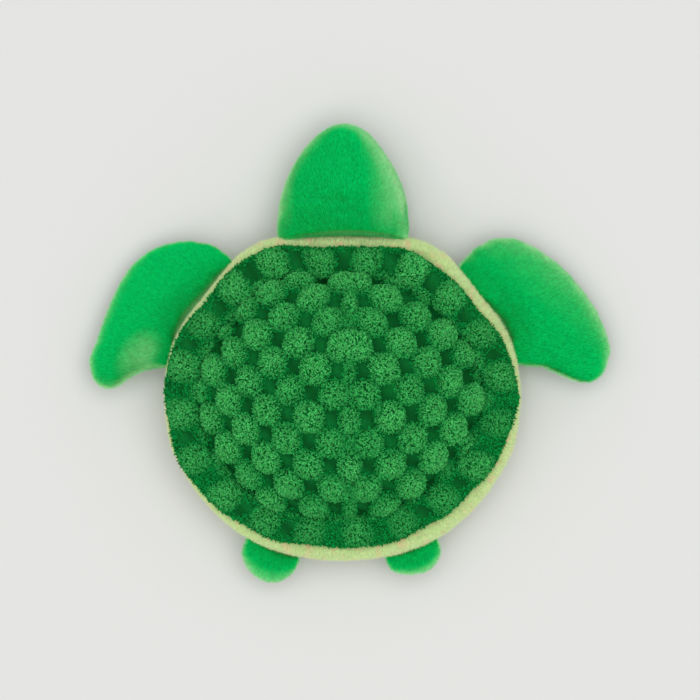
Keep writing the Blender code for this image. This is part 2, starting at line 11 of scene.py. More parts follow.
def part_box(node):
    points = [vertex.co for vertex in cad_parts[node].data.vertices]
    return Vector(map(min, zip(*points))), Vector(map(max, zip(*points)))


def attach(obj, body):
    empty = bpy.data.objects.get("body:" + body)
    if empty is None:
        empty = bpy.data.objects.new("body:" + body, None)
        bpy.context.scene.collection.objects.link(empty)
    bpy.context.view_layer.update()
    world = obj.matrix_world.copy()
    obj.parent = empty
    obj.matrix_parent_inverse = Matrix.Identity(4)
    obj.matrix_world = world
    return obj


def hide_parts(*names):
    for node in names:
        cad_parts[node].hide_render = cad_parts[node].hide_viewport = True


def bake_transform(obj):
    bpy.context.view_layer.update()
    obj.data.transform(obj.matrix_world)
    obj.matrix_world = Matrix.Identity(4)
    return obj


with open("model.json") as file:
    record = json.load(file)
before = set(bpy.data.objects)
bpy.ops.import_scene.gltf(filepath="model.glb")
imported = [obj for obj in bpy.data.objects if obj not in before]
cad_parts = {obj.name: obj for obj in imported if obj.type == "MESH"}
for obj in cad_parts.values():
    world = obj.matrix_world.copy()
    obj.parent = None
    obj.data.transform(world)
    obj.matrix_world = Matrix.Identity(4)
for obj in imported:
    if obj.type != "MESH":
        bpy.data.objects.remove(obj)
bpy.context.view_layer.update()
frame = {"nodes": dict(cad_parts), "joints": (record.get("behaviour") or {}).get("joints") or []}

BELLY_LOW, BELLY_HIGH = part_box("belly_panel")
BELLY_MIDDLE = (BELLY_LOW + BELLY_HIGH) / 2
MM = 0.001
BEYOND_ALL = 9.0  # further than any puff or eye reaches, in half widths of its own

# The toy's cloth
PILE_RISE = 0.1 * MM  # how far the cloth's ground lies under the solids' outside, for the pile to stand on
SKIN_SWELL = 0.9 * MM  # how far a skin is blown up at most
SIM_FRAMES = 20
SIM_PRESSURE = 4.0
GROUND_BAND_SPACING = 9.77 * MM  # of the popcorn ground's lighter and darker bands
WAVE_SPACING = 2 * math.pi / (10 * math.sqrt(2))  # of a diagonal wave texture's bands at a scale of 1

# The limbs' roots, from the hinge line to the end that lies against the body
ROOT_HOLD = 4.0 * MM  # length over which a skin is held more and more as it is blown up
ROOT_SET_BACK = 0.8 * MM  # how far the upper part of the root's end stays off the body
ROOT_SET_BACK_RISE = 8.0 * MM  # how high over the hinge line it lies that far off
ROOT_SUNK = 0.6 * MM  # how deep the root's end lies in the body's pile
ROOT_MOST = 3.2  # how many times taller the stuffing may make the root
ROOT_LINES = 31  # places along the seam where the root is measured
ROOT_WALL_SHARE = 0.88  # of the way in, where the root's end wall starts
ROOT_DROP_SHARE = 0.15  # how much of its height the root loses on its way in

# The limbs' pile, and a painted sheen: a paler colour painted on the sides that turn away from the light
# overhead. A sheen side is the way the palest side faces, to the right and towards the head. A sheen spot
# is its place across and out from the hinge, its half width, its half length and how much paler it is.
PAINTED_SHEEN_START = 10.0 * MM  # from the end of the root, over which the painted sheen sets in
PILE_START = (-0.6 * MM, 0.3 * MM)  # over the body's skin, where the pile sets in
FULL_PILE = 4.0 * MM  # over the body's skin, where the pile has its full length
PAINTED_SHEEN_SIDES = {
    "head": (0.2, 0.0),
    "left_front_flipper": (-0.1, -0.3),
    "right_front_flipper": (0.12, 0.28),
    "left_rear_foot": (-0.15, -0.2),
    "right_rear_foot": (0.2, -0.25),
}
PAINTED_SHEEN_SPOTS = {
    "head": [
        (19 * MM, 4 * MM, 10 * MM, 28 * MM, 0.25),
        (-25 * MM, 2 * MM, 5 * MM, 20 * MM, 0.2),
        (28 * MM, -4.4 * MM, 3 * MM, 12 * MM, -0.9),
        (0.0, 31 * MM, 14 * MM, 10 * MM, -0.25),
    ],
    "left_front_flipper": [(-31 * MM, 1 * MM, 15 * MM, 10 * MM, 0.5)],
}
PILE_SEEDS = {
    "head": 1,
    "left_front_flipper": 10,
    "right_front_flipper": 11,
    "left_rear_foot": 20,
    "right_rear_foot": 21,
    "rim_pile": 31,
    "belly_pile": 32,
    "shell_pile": 40,
}
HEAD_FIBRES = 7.0e6  # per square metre
LIMB_FIBRES = 9.0e6
RIM_FIBRES = 5.0e6
BELLY_FIBRES = 2.2e6

# The body's pale skin
BODY_SEAM_WIDTH = 4.0 * MM  # to each side of the seam, where the skin is held as it is blown up
BODY_CREASE_WIDTH = 1.6 * MM
LEAST_HEIGHT = 0.6 * MM  # of the skin over the table
NAP_DROP = 30.0 * MM  # how far down the nap is brushed as it runs out from the middle
RESTING_PILE = (1.5 * MM, 5.0 * MM)  # heights between which the pile is pressed short by the toy's weight
PRESSED_SHARE = 0.65  # how much of its length is lost there
RIM_FROM = (14.0 * MM, 17.0 * MM)  # heights between which the rim's pile takes over from the belly's

# Heights over the table
SEAM_HEIGHT = 20.0 * MM
RIM_RISE = 12.0 * MM
BRIM_RISE = 5.0 * MM
DOME_RISE = 24.0 * MM
GROOVE_DEPTH = 3.4 * MM
GROOVE_WIDTH = 5.0 * MM
GROOVE_SHARE = 0.79
DOME_CAP_SHARE = 1.2

# Popcorn cloth. Two halves meet on the shell's middle line and mirror each other.
SHELL_MIDDLE = np.array(BELLY_MIDDLE.xy + Vector((-1.5 * MM, 0.0)))
MIDDLE_LINE = 2.9 * MM  # of the two halves, from the middle of the belly
CELL_WIDTH = 9.55 * MM
CELL_LENGTH = 10.4 * MM
DRAPE_RADIUS = 80.0 * MM  # roundness of the dome that the cloth is drawn over
CELL_ORIGIN_ALONG = 1.5 * MM
COLUMN_BOW = 175.0 * MM  # radius of the arc that a column of puffs lies on
COLUMN_BOW_ROW = 2.2  # the row where a column lies furthest out
COLUMN_OFFSET = 8.2 * MM
ROW_SAG = 161.0 * MM  # radius of the arc that a row of puffs lies on
PUFF_HEIGHT = 4.4 * MM
PUFF_REACH_SHARES = (0.675, 0.645)  # of a cell, across and along
PUFF_SQUARENESS = 2.7
BRIM_PITS = 20
BRIM_PIT_DEPTH = 6.2 * MM  # of the pits' middles, in from the shell's edge
BRIM_CELL_LENGTH = 11.5 * MM
BRIM_PIT_BEARING = math.radians(88.4)
SHELL_SHEET = 1.2 * MM
SHELL_WAVER = 0.7 * MM
OPEN_PITS = (2, 3, 4, 6, 8, 9, 12, 13, 16, 17)  # the pits of the brim that show bare, counted from the head
OPEN_PIT_REACH = 3.0 * MM
FRONT_BRIM = (math.radians(28), math.radians(60))  # to each side of the head, where the brim's front ends
LOW_BRIM_SHARE = 0.78  # height of the brim's puffs at the sides and the back, where the cloth is stretched
BRIM_FUZZ_SHARE = 0.13  # height of the curls between those puffs
PUFF_HEIGHT_SHARES = (0.74, 1.14)  # from the lowest puff to the highest
GROOVE_PUFF_SHARE = 0.45  # height of the puffs in the groove
GROOVE_PUFF_REACH = 2.5 * MM
RIDGE_SHARE = 0.45  # height of the curls on the line where the cloth's two halves meet
RIDGE_WIDTH = (1.0 * MM, 4.0 * MM)  # to each side of it
EDGE_RISE = (0.2 * MM, 2.5 * MM)  # from the edge, where the puffs set in
EDGE_CURLS = (0.6 * MM, 1.6 * MM)  # from the edge, where the curls stand on bare ground too
EDGE_NAP = 3.0 * MM  # from the edge, where the curls lean outwards
TILT_SPAN = 2.5 * MM  # to each side, for the slope of the shell
# How far the popcorn cloth laps over the rim, in shares of the most, by bearing in degrees from the right
SHELL_OVERHANG = 2.0 * MM
OVERHANG_SHARES = [
    (0, 1.0), (22, 0.3), (42, -0.6), (62, -0.5), (90, -0.3), (125, 0.2), (150, 0.3), (180, 0.2), (205, 0.3),
    (222, 0.2), (235, -0.3), (255, -0.6), (275, -0.4), (300, -0.8), (325, -1.1), (342, 0.2),
]

# Eyes
STITCH_SPACING = 0.34 * MM
STITCH_THREAD = 0.44 * MM
STITCH_LIFT = 0.5 * MM
EYE_REACH = 6.0 * MM  # over and under the eye's middle, where the head's cloth is looked for
EYE_TRIM_DEPTH = 4.0 * MM

# Studio, in metres
FLOOR_HALF = 3.0
CAMERA_PLACE = (0.0, 0.0015, 1.731)
LENS = 200  # in millimetres, so long that it looks nearly straight down
LIGHTS = {  # place, width and power
    "key": ((0.2, 0.05, 1.3), 1.0, 5.4),
    "overhead": ((-0.2, -0.1, 1.2), 1.4, 5.2),
}


def linear(code):
    """An sRGB hex colour as the linear colour that a socket takes."""
    parts = [int(code[i : i + 2], 16) / 255 for i in (1, 3, 5)]
    return (*[c / 12.92 if c <= 0.04045 else ((c + 0.055) / 1.055) ** 2.4 for c in parts], 1.0)


def add(tree, kind, inputs=None, stops=(), **settings):
    """Adds a node with its settings and with what goes into it: a value, a socket, or a node, whose first
    output in use is taken. stops are the places and colours of a colour ramp."""
    node = tree.nodes.new(kind)
    for setting, value in settings.items():
        setattr(node, setting, value)
    for socket, given in (inputs or {}).items():
        if isinstance(given, bpy.types.Node):
            given = next(output for output in given.outputs if output.enabled)
        if isinstance(given, bpy.types.NodeSocket):
            tree.links.new(given, node.inputs[socket])
        else:
            node.inputs[socket].default_value = given
    for number, (place, colour) in enumerate(stops):
        marks = node.color_ramp.elements
        mark = marks[number] if number < len(marks) else marks.new(place)
        mark.position = place
        mark.color = linear(colour)
    return node


def maths(tree, operation, *values, **settings):
    """Adds a node that works on one or two numbers."""
    return add(tree, "ShaderNodeMath", dict(enumerate(values)), operation=operation, **settings)


def vector_maths(tree, operation, vector, other=None):
    """Adds a node that works on a direction, with another one or with the number that it is scaled by."""
    inputs = {0: vector}
    if other is not None:
        inputs[3 if operation == "SCALE" else 1] = other
    return add(tree, "ShaderNodeVectorMath", inputs, operation=operation)


def points_of(mesh, kept="co"):
    """The places of all points of the mesh, one row each."""
    rows = np.empty(len(mesh.vertices) * 3, np.float32)
    mesh.vertices.foreach_get(kept, rows)
    return rows.reshape(-1, 3).astype(float)


def normals_of(mesh):
    """Which way is out at each point of the mesh."""
    return points_of(mesh, "normal")


def move_points(mesh, places):
    """Puts the mesh's points at these places."""
    mesh.vertices.foreach_set("co", places.astype(np.float32).ravel())
    mesh.update()


def store(mesh, name, values):
    """Keeps a number or a direction on every point of the mesh."""
    values = np.asarray(values, np.float32)
    vector = values.ndim == 2
    if name in mesh.attributes:
        mesh.attributes.remove(mesh.attributes[name])
    attribute = mesh.attributes.new(name, "FLOAT_VECTOR" if vector else "FLOAT", "POINT")
    attribute.data.foreach_set("vector" if vector else "value", values.ravel())


def add_object(name, data):
    """Puts a mesh, a lamp or a camera into the scene, unmoved and unturned."""
    thing = bpy.data.objects.new(name, data)
    bpy.context.scene.collection.objects.link(thing)
    return thing


def merged_copy(name, nodes):
    """A copy of some solids in one mesh, with their loose triangles joined."""
    work = bmesh.new()
    for node in nodes:
        work.from_mesh(frame["nodes"][node].data)
    bmesh.ops.remove_doubles(work, verts=work.verts, dist=0.001 * MM)
    bmesh.ops.recalc_face_normals(work, faces=work.faces)
    mesh = bpy.data.meshes.new(name)
    work.to_mesh(mesh)
    work.free()
    return add_object(name, mesh)


def finished_mesh(thing):
    """A new mesh of what the object's modifiers make."""
    graph = bpy.context.evaluated_depsgraph_get()
    return bpy.data.meshes.new_from_object(
        thing.evaluated_get(graph), preserve_all_data_layers=True, depsgraph=graph
    )


def modified(thing, kind, **settings):
    """Turns what one modifier makes into the object's own mesh."""
    modifier = thing.modifiers.new(kind, kind)
    for setting, value in settings.items():
        setattr(modifier, setting, value)
    mesh = finished_mesh(thing)
    thing.modifiers.clear()
    old = thing.data
    thing.data = mesh
    bpy.data.meshes.remove(old)


def smoothstep(low, high, value):
    """0 at low, 1 at high and soft between them. low may be the larger one."""
    t = np.clip((value - low) / (high - low), 0.0, 1.0)
    return t * t * (3 - 2 * t)


def tree_inputs(tree, sockets):
    """Names the tree's inputs and returns their identifiers."""
    tree.interface.new_socket("Geometry", in_out="INPUT", socket_type="NodeSocketGeometry")
    tree.interface.new_socket("Geometry", in_out="OUTPUT", socket_type="NodeSocketGeometry")
    made = {}
    for name, kind in sockets.items():
        socket = tree.interface.new_socket(name, in_out="INPUT", socket_type=f"NodeSocket{kind}")
        made[name] = socket.identifier
    return made


def run_tree(thing, tree, identifiers, values):
    """Runs the tree on the object and returns the result as a mesh."""
    modifier = thing.modifiers.new(tree.name, "NODES")
    modifier.node_group = tree
    for name, value in values.items():
        modifier[identifiers[name]] = value
    mesh = finished_mesh(thing)
    thing.modifiers.remove(modifier)
    return mesh


def new_material(name, roughness, specular, sheen=0.0, sheen_colour="#FFFFFF"):
    """A new material with its gloss, its node tree and its shader."""
    material = bpy.data.materials.new(name)
    material.use_nodes = True
    shader = material.node_tree.nodes["Principled BSDF"]
    shader.inputs["Roughness"].default_value = roughness
    shader.inputs["Specular IOR Level"].default_value = specular
    shader.inputs["Sheen Weight"].default_value = sheen
    shader.inputs["Sheen Roughness"].default_value = 0.35
    shader.inputs["Sheen Tint"].default_value = linear(sheen_colour)
    return material, material.node_tree, shader


def plush(name, root, body, tip, speck_and_painted_sheen_colour, sheen_colour, tuft=1.6 * MM, patch=7.0 * MM, even=(0.90, 1.08),
          patched=(0.7, 1.25)):
    """Knitted polyester plush with a 2 mm nap, brushed one way. Its fibres are deeper at the root than at
    the tip, which gives the nap its soft strokes. Where the pale attribute is set, patches of noise mix in
    a
    second colour: a painted sheen along the limbs' side seams, and random warm specks on the rim and belly."""
    material, tree, shader = new_material(name, 0.95, 0.0, 0.2, sheen_colour)
    along, tint, pale = (
        add(tree, "ShaderNodeAttribute", attribute_name=kept).outputs["Fac"]
        for kept in ("along", "tint", "pale")
    )
    place = add(tree, "ShaderNodeTexCoord").outputs["Object"]
    fibre = add(tree, "ShaderNodeValToRGB", {0: along}, [(0.0, root), (0.5, body), (1.0, tip)])
    patches = add(tree, "ShaderNodeTexNoise", {"Vector": place, "Scale": 1 / patch, "Detail": 2.0})
    uneven = add(tree, "ShaderNodeMapRange", {0: patches, 1: 0.3, 2: 0.7, 3: patched[0], 4: patched[1]})
    # The pale attribute, patched by noise, mixes in the second colour: a painted sheen on the limbs, random
    # warm specks on the rim and belly
    share = maths(tree, "MULTIPLY", pale, uneven, use_clamp=True)
    colour = add(tree, "ShaderNodeMix", {0: share, 6: fibre, 7: linear(speck_and_painted_sheen_colour)}, data_type="RGBA")
    tufts = add(tree, "ShaderNodeTexNoise", {"Vector": place, "Scale": 1 / tuft, "Detail": 2.0})
    tuft_level = add(tree, "ShaderNodeMapRange", {0: tufts, 1: 0.3, 2: 0.7, 3: even[0], 4: even[1]})
    own_level = add(tree, "ShaderNodeMapRange", {0: tint, 3: even[0], 4: even[1]})
    level = maths(tree, "MULTIPLY", own_level, tuft_level)
    shaded = add(tree, "ShaderNodeHueSaturation", {"Value": level, "Color": colour})
    tree.links.new(shaded.outputs[0], shader.inputs["Base Color"])
    return material


def popcorn(name):
    """Curly popcorn plush of crimped yarn, with painted light: a yellow green painted highlight on the
    puffs' tops, where the curls are open to the light, and deep green painted shade between them."""
    material, tree, shader = new_material(name, 0.9, 0.04, 0.1, "#B9F0A0")
    along, tint, puff = (
        add(tree, "ShaderNodeAttribute", attribute_name=kept).outputs["Fac"]
        for kept in ("along", "tint", "puff")
    )
    painted_shade_greens = [(0.0, "#036624"), (0.6, "#06883A"), (1.0, "#0C9C46")]
    painted_highlight_greens = [(0.0, "#0A8434"), (0.5, "#26AE50"), (1.0, "#58C86C")]
    low = add(tree, "ShaderNodeValToRGB", {0: along}, painted_shade_greens)
    high = add(tree, "ShaderNodeValToRGB", {0: along}, painted_highlight_greens)
    # Painted highlight and shade: the higher a place stands on its puff, the more its curls take the yellow
    # greens
    painted_highlight_share = add(tree, "ShaderNodeMapRange", {0: puff, 1: 0.2, 2: 0.9})
    colour = add(tree, "ShaderNodeMix", {0: painted_highlight_share, 6: low, 7: high}, data_type="RGBA")
    level = add(tree, "ShaderNodeMapRange", {0: tint, 3: 0.72, 4: 1.14})
    shaded = add(tree, "ShaderNodeHueSaturation", {"Value": level, "Color": colour})
    tree.links.new(shaded.outputs[0], shader.inputs["Base Color"])
    return material


def knitted_ground(name):
    """The knitted polyester ground of the popcorn cloth: flat, matt and dark green between the puffs. Where
    it is stretched more it is a little lighter, in soft bands, so that no two pits look quite alike."""
    material, tree, shader = new_material(name, 0.9, 0.1)
    place = add(tree, "ShaderNodeTexCoord").outputs["Object"]
    stretched = add(
        tree, "ShaderNodeTexWave",
        {
            "Vector": place, "Scale": WAVE_SPACING / GROUND_BAND_SPACING, "Distortion": 1.5, "Detail": 1.0,
            "Detail Scale": 2.0,
        },
        bands_direction="DIAGONAL",
    ).outputs["Fac"]
    mottle = add(tree, "ShaderNodeTexNoise", {"Vector": place, "Scale": 1 / (1.3 * MM), "Detail": 3.0})
    level = maths(tree, "MULTIPLY", stretched, mottle)
    dark_greens = [(0.0, "#03541F"), (0.5, "#066C2C"), (1.0, "#0C863C")]
    colour = add(tree, "ShaderNodeValToRGB", {0: level}, dark_greens)
    tree.links.new(colour.outputs[0], shader.inputs["Base Color"])
    relief = add(tree, "ShaderNodeBump", {"Strength": 0.5, "Distance": 0.3 * MM, "Height": stretched})
    tree.links.new(relief.outputs[0], shader.inputs["Normal"])
    return material


def thread(name):
    """Black rayon embroidery thread, spun smooth, so that each satin stitch catches a soft gleam."""
    material, tree, shader = new_material(name, 0.38, 0.5)
    place = add(tree, "ShaderNodeTexCoord").outputs["Object"]
    wear = add(tree, "ShaderNodeTexNoise", {"Vector": place, "Scale": 1 / (0.5 * MM), "Detail": 2.0})
    colour = add(tree, "ShaderNodeValToRGB", {0: wear}, [(0.3, "#0B0B0C"), (0.7, "#232326")])
    tree.links.new(colour.outputs[0], shader.inputs["Base Color"])
    return material


def pile_tree():
    """Plants fibres on a skin. Each leans along the skin's nap with its flat side up, and is lit much as
    the cloth under it is."""
    tree = bpy.data.node_groups.new("pile", "GeometryNodeTree")
    measures = (
        "Fibres per Square Metre", "Length", "Width", "Thickness Share", "Lean", "Clump Lean", "Clump Size",
        "Ruffle", "Turn", "Bend", "Curl", "Tip Share", "Own Light",
    )
    counts = {"Sides": "Int", "Segments": "Int", "Seed": "Int"}
    kinds = {**dict.fromkeys(measures, "Float"), **counts, "Material": "Material"}
    sockets = tree_inputs(tree, kinds)
    given = add(tree, "NodeGroupInput").outputs
    numbers = {
        name: add(tree, "GeometryNodeInputNamedAttribute", {"Name": name}, data_type="FLOAT")
        for name in ("pile", "length", "along")
    }
    ways = {
        name: add(tree, "GeometryNodeInputNamedAttribute", {"Name": name}, data_type="FLOAT_VECTOR")
        for name in ("nap", "ground", "bend", "curl")
    }
    place = add(tree, "GeometryNodeInputPosition")
    density = maths(tree, "MULTIPLY", given["Fibres per Square Metre"], numbers["pile"])
    planted = add(
        tree, "GeometryNodeDistributePointsOnFaces",
        {"Mesh": given["Geometry"], "Density": density, "Seed": given["Seed"]},
    )
    normal = planted.outputs["Normal"]

    # Which way each fibre stands: up, along the nap, with its neighbours and a little its own way
    fineness = maths(tree, "DIVIDE", 1.0, given["Clump Size"])
    noise = add(tree, "ShaderNodeTexNoise", {"Vector": place, "Scale": fineness, "Detail": 2.0})
    swirl = vector_maths(tree, "SUBTRACT", noise.outputs["Color"], (0.5,) * 3)
    clump = vector_maths(tree, "SCALE", swirl, given["Clump Lean"])
    leaning = vector_maths(tree, "SCALE", ways["nap"], given["Lean"])
    any_way = add(
        tree, "FunctionNodeRandomValue", {0: (-1.0,) * 3, 1: (1.0,) * 3, 8: 5}, data_type="FLOAT_VECTOR"
    )
    ruffle = vector_maths(tree, "SCALE", any_way, given["Ruffle"])
    stand = vector_maths(tree, "ADD", normal, leaning)
    stand = vector_maths(tree, "ADD", stand, clump)
    stand = vector_maths(tree, "ADD", stand, ruffle)
    stand = vector_maths(tree, "NORMALIZE", stand)

    # What each fibre needs once it is real: the ground under it, its bend and its curl
    far = maths(tree, "MULTIPLY", given["Bend"], given["Length"])
    drift = vector_maths(tree, "ADD", ways["nap"], clump)
    bend = vector_maths(tree, "SCALE", drift, far)
    wide = maths(tree, "MULTIPLY", given["Curl"], given["Length"])
    own_way = add(
        tree, "FunctionNodeRandomValue", {0: (-1.0,) * 3, 1: (1.0,) * 3, 8: 9}, data_type="FLOAT_VECTOR"
    )
    curl = vector_maths(tree, "SCALE", own_way, wide)
    tint = add(tree, "FunctionNodeRandomValue", {8: 2}, data_type="FLOAT")
    cloud = planted
    for name, kind, value in (
        ("ground", "FLOAT_VECTOR", normal), ("bend", "FLOAT_VECTOR", bend), ("curl", "FLOAT_VECTOR", curl),
        ("tint", "FLOAT", tint),
    ):
        cloud = add(
            tree, "GeometryNodeStoreNamedAttribute", {"Geometry": cloud, "Name": name, "Value": value},
            data_type=kind, domain="POINT",
        )

    # The fibre itself, marked from 0 at its root to 1 at its tip
    radius = maths(tree, "DIVIDE", given["Width"], 2.0)
    tip = maths(tree, "MULTIPLY", radius, given["Tip Share"])
    fibre = add(
        tree, "GeometryNodeMeshCone",
        {
            "Vertices": given["Sides"], "Side Segments": given["Segments"], "Radius Top": tip,
            "Radius Bottom": radius, "Depth": given["Length"],
        },
        fill_type="NGON",
    )
    height = add(tree, "ShaderNodeSeparateXYZ", {0: place}).outputs["Z"]
    share = maths(tree, "DIVIDE", height, given["Length"])
    fibre = add(
        tree, "GeometryNodeStoreNamedAttribute", {"Geometry": fibre, "Name": "along", "Value": share},
        data_type="FLOAT", domain="POINT",
    )

    # Stood on its spot, flat side up but for a turn of its own
    aimed = add(tree, "FunctionNodeAlignRotationToVector", {"Vector": stand}, axis="Z")
    flat = add(
        tree, "FunctionNodeAlignRotationToVector", {"Rotation": aimed, "Vector": normal}, axis="Y",
        pivot_axis="Z",
    )
    other_way = maths(tree, "MULTIPLY", given["Turn"], -1.0)
    angle = add(tree, "FunctionNodeRandomValue", {2: other_way, 3: given["Turn"], 8: 7}, data_type="FLOAT")
    turn = add(tree, "FunctionNodeAxisAngleToRotation", {"Angle": angle})
    turned = add(
        tree, "FunctionNodeRotateRotation", {"Rotation": flat, "Rotate By": turn}, rotation_space="LOCAL"
    )
    grown = add(tree, "FunctionNodeRandomValue", {2: 0.65, 3: 1.1, 8: 11}, data_type="FLOAT")
    tall = maths(tree, "MULTIPLY", grown, numbers["length"])
    size = add(tree, "ShaderNodeCombineXYZ", {0: 1.0, 1: given["Thickness Share"], 2: tall})
    stood = add(
        tree, "GeometryNodeInstanceOnPoints",
        {"Points": cloud, "Instance": fibre, "Rotation": turned, "Scale": size},
    )
    real = add(tree, "GeometryNodeRealizeInstances", {"Geometry": stood})

    # Bent along the nap and curled, more and more towards its tip
    late = maths(tree, "POWER", numbers["along"], 2.0)
    drawn = vector_maths(tree, "SCALE", ways["bend"], late)
    phase = maths(tree, "MULTIPLY", numbers["along"], 5.0)
    wave = maths(tree, "SINE", phase)
    curled = vector_maths(tree, "SCALE", ways["curl"], wave)
    moved = vector_maths(tree, "ADD", drawn, curled)
    shaped = add(tree, "GeometryNodeSetPosition", {"Geometry": real, "Offset": moved})
    side = add(tree, "GeometryNodeInputNormal").outputs["Normal"]
    own = vector_maths(tree, "SCALE", side, given["Own Light"])
    facing = vector_maths(tree, "ADD", ways["ground"], own)
    facing = vector_maths(tree, "NORMALIZE", facing)
    lit = add(
        tree, "GeometryNodeSetMeshNormal", {"Mesh": shaped, "Custom Normal": facing}, mode="FREE",
        domain="POINT",
    )
    dressed = add(tree, "GeometryNodeSetMaterial", {"Geometry": lit, "Material": given["Material"]})
    add(tree, "NodeGroupOutput", {0: dressed})
    return tree, sockets


PILE, PILE_SOCKETS = pile_tree()
# Real fibres are about 0.03 mm thick, too fine to show, so each one here stands for a lock of many
SHORT_PILE = {
    "Fibres per Square Metre": 9.0e6, "Length": 2.2 * MM, "Width": 0.42 * MM, "Thickness Share": 0.4,
    "Lean": 0.9, "Clump Lean": 0.5, "Clump Size": 2.5 * MM, "Ruffle": 0.22, "Turn": 0.4, "Bend": 0.15,
    "Curl": 0.0, "Tip Share": 0.0, "Own Light": 0.06, "Sides": 3, "Segments": 1,
}
CURLY_PILE = {
    "Fibres per Square Metre": 2.3e6, "Length": 1.3 * MM, "Width": 1.15 * MM, "Thickness Share": 0.9,
    "Lean": 0.6, "Clump Lean": 1.2, "Clump Size": 1.4 * MM, "Ruffle": 0.7, "Turn": math.pi, "Bend": 0.3,
    "Curl": 0.40, "Tip Share": 0.60, "Own Light": 0.32, "Sides": 3, "Segments": 2,
}


def grow_pile(skin, name, material, kind, seed, **changes):
    """The pile of a skin, as a piece of its own that keeps only what its material reads."""
    values = {**kind, "Seed": seed, "Material": material, **changes}
    mesh = run_tree(skin, PILE, PILE_SOCKETS, values)
    for spare in ("bend", "curl", "ground", "nap", "pile", "length"):
        if spare in mesh.attributes:
            mesh.attributes.remove(mesh.attributes[spare])
    return add_object(name, mesh)


def keep_outside(mesh):
    """Drops everything but the mesh's largest closed surface."""
    work = bmesh.new()
    work.from_mesh(mesh)
    left, largest = set(work.verts), set()
    while left:
        part, edge = set(), {left.pop()}
        while edge:
            part |= edge
            edge = {e.other_vert(v) for v in edge for e in v.link_edges} - part
        left -= part
        largest = max(largest, part, key=len)
    bmesh.ops.delete(work, geom=[v for v in work.verts if v not in largest], context="VERTS")
    work.to_mesh(mesh)
    work.free()


def cloth_form(name, nodes, voxel, inset):
    """One closed skin round the solids, drawn in from their outside."""
    thing = merged_copy(name, nodes)
    modified(thing, "REMESH", mode="VOXEL", voxel_size=voxel)
    keep_outside(thing.data)
    modified(thing, "SMOOTH", iterations=4)
    for _ in range(3):
        move_points(thing.data, points_of(thing.data) - normals_of(thing.data) * inset / 3)
        modified(thing, "SMOOTH", iterations=2)
    return thing


def plump(thing, held, cap=SKIN_SWELL):
    """Blows the skin up from its stuffing as cloth, held at its seams, and lets no point go further than
    the cap."""
    start = points_of(thing.data)
    group = thing.vertex_groups.new(name="held")
    for i in np.flatnonzero(held > 0.01):
        group.add([int(i)], float(held[i]), "REPLACE")
    cloth = thing.modifiers.new("cloth", "CLOTH")
    cloth.settings.vertex_group_mass = group.name
    cloth.settings.use_pressure = True
    cloth.settings.uniform_pressure_force = SIM_PRESSURE
    cloth.settings.effector_weights.gravity = 0.0
    cloth.point_cache.frame_end = SIM_FRAMES
    for number in range(1, SIM_FRAMES + 1):
        bpy.context.scene.frame_set(number)
    graph = bpy.context.evaluated_depsgraph_get()
    swollen = points_of(thing.evaluated_get(graph).data)
    thing.modifiers.remove(cloth)
    thing.vertex_groups.remove(group)
    bpy.context.scene.frame_set(1)
    moved = swollen - start
    far = np.linalg.norm(moved, axis=1)
    moved *= np.minimum(1.0, cap / np.maximum(far, 1e-9))[:, None]
    move_points(thing.data, start + moved)


def joint_of(body):
    """Where a limb turns: a point on its hinge line, the line along the seam and the way out."""
    joint = next(j for j in frame["joints"] if j["child"] == body)
    along = np.array(joint["axis"])
    return np.array(joint["pos_m"]), along, np.array([-along[1], along[0], 0.0])


def tangent(vectors, normals):
    """The directions, laid flat on the surface."""
    flat = vectors - normals * (vectors * normals).sum(axis=1, keepdims=True)
    return flat / np.maximum(np.linalg.norm(flat, axis=1, keepdims=True), 1e-9)


def limb_skin(body, nodes, voxel=1.3 * MM, crease=0.4 * MM):
    """A limb's skin: its form drawn in, then blown up to the ground of the cloth, with the seam round its
    side sunk."""
    place, across, out = joint_of(body)
    skin = cloth_form(f"{body}_skin", nodes, voxel, PILE_RISE + SKIN_SWELL)
    from_hinge = (points_of(skin.data) - place) @ out
    side = smoothstep(0.35, 0.0, np.abs(normals_of(skin.data)[:, 2]))
    plump(skin, np.maximum(0.6 * smoothstep(0.0, -ROOT_HOLD, from_hinge), 0.3 * side))
    modified(skin, "SMOOTH", iterations=3)
    modified(skin, "SUBSURF", levels=1)
    side = smoothstep(0.22, 0.0, np.abs(normals_of(skin.data)[:, 2]))
    move_points(skin.data, points_of(skin.data) - normals_of(skin.data) * (crease * side)[:, None])
    return skin


def surface_of(mesh):
    """The mesh as a surface on which places can be looked up."""
    return BVHTree.FromPolygons(
        [v.co for v in mesh.vertices], [tuple(face.vertices) for face in mesh.polygons]
    )


def nearest_on(surface, spots):
    """The nearest places on a surface, their distances and which way is out there."""
    found = [surface.find_nearest(Vector(spot)) for spot in spots]
    return tuple(np.array([hit[part] for hit in found]) for part in (0, 3, 1))


def root_roof(spots, beside, inward, ends, place):
    """How many times taller each place of a limb's round root has to be to stand as high as the limb does
    at its hinge line, and how high that is there."""
    share = np.clip(inward, 0.0, 1.0)
    core = np.abs(beside - sum(ends) / 2) < 0.2 * (ends[1] - ends[0])
    height = spots[core, 2] - place[2]
    least = height[inward[core] > 0].max() / ROOT_MOST
    steps = np.linspace(0.0, 0.95, 20)
    tall = [height[inward[core] > step].max(initial=least) for step in steps]
    lines = np.linspace(*ends, ROOT_LINES)
    at_hinge = np.abs(inward) < 0.12
    near = 2 * MM
    roof = [
        (spots[at_hinge & (np.abs(beside - x) < near), 2] - place[2]).max(initial=0.0) for x in lines
    ]
    return tall[0] / np.interp(share, steps, tall), np.interp(beside, lines, roof)


